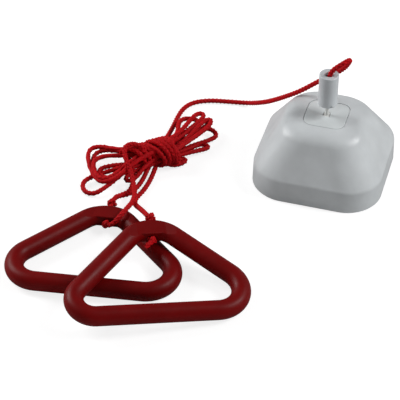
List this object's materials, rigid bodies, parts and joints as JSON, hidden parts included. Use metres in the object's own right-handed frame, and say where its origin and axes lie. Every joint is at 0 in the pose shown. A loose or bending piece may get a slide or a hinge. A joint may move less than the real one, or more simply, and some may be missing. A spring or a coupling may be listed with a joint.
{
  "type": "alarm pull cord switch",
  "caption": "Square domed ceiling pull switch with a hanging stem, cord connector, bundled red cord and triangular pull handles on the cord.",
  "frame": {"origin": "centre of the base plate's mounting face, which lies on the table", "axes": "+Z from the mounting face towards the pull side of the switch, X and Y along the sides of the square housing; the two handles lie on the -X -Y side"},
  "size_m": [0.2103, 0.2481, 0.0898],
  "materials": {
    "cover": "semi-gloss",
    "base": "matt",
    "stem": "satin",
    "board": "solder mask",
    "steel": "bright",
    "terminal": "matt",
    "switch_case": "matt",
    "plunger": "satin",
    "lamp": "clear red",
    "relay_case": "matt",
    "cord": "braided",
    "handle": "semi-gloss"
  },
  "bodies": {
    "housing": {"cover_shell": "cover", "guide_plate": "cover", "base_plate": "base", "circuit_board": "board", "board_screws": "steel", "terminal_block": "terminal", "terminal_screws": "steel", "microswitch_case": "switch_case", "lever_pivot_pin": "steel", "indicator_leds": "lamp", "resistors": "switch_case", "relay": "relay_case", "sounder": "switch_case", "return_spring": "steel", "cord_lead": "cord", "cord_hank": "cord", "cord_tail_upper": "cord", "cord_tail_middle": "cord", "cord_tail_lower": "cord"},
    "pull": {"pull_stem": "stem", "connector_knot": "cord", "cord_riser": "cord"},
    "connector": {"connector_sleeve": "cover", "connector_plug": "cover"},
    "lever": {"microswitch_lever": "steel"},
    "plunger": {"microswitch_plunger": "plunger"},
    "upper_grip": {"upper_handle": "handle", "upper_knot": "cord"},
    "lower_grip": {"lower_handle": "handle", "lower_knot": "cord"}
  },
  "joints": [
    {"name": "cord_pull", "type": "slide", "parent": "housing", "child": "pull", "axis": [0, 0, 1], "range_m": [0, 0.004], "stiffness_N_per_m": 600, "springref_m": -0.004, "deforming": ["return_spring", "cord_lead", "cord_riser"]},
    {"name": "connector_turn", "type": "hinge", "parent": "pull", "child": "connector", "pos_m": [0, 0, 0.06], "axis": [0, 0, 1], "continuous": true},
    {"name": "switch_lever", "type": "hinge", "parent": "housing", "child": "lever", "pos_m": [0.0196, 0, 0.0187], "axis": [0, 1, 0], "range_deg": [0, 8.1]},
    {"name": "switch_plunger", "type": "slide", "parent": "housing", "child": "plunger", "axis": [0, 0, 1], "range_m": [0, 0.0007]},
    {"name": "upper_handle_lift", "type": "hinge", "parent": "housing", "child": "upper_grip", "pos_m": [-0.12087, -0.0812, 0.00605], "axis": [-0.9898, -0.1426, 0], "range_deg": [0, 75], "deforming": ["cord_tail_upper", "cord_tail_middle", "cord_tail_lower"]},
    {"name": "lower_handle_lift", "type": "hinge", "parent": "upper_grip", "child": "lower_grip", "pos_m": [-0.088, -0.10208, 0.0194], "axis": [-0.8942, -0.4478, 0], "range_deg": [0, 60], "deforming": ["cord_tail_lower"]}
  ],
  "couplings": [
    {"joint": "switch_lever", "follows": "cord_pull", "rad_per_m": 34.9},
    {"joint": "switch_plunger", "follows": "cord_pull", "ratio": 0.15}
  ]
}
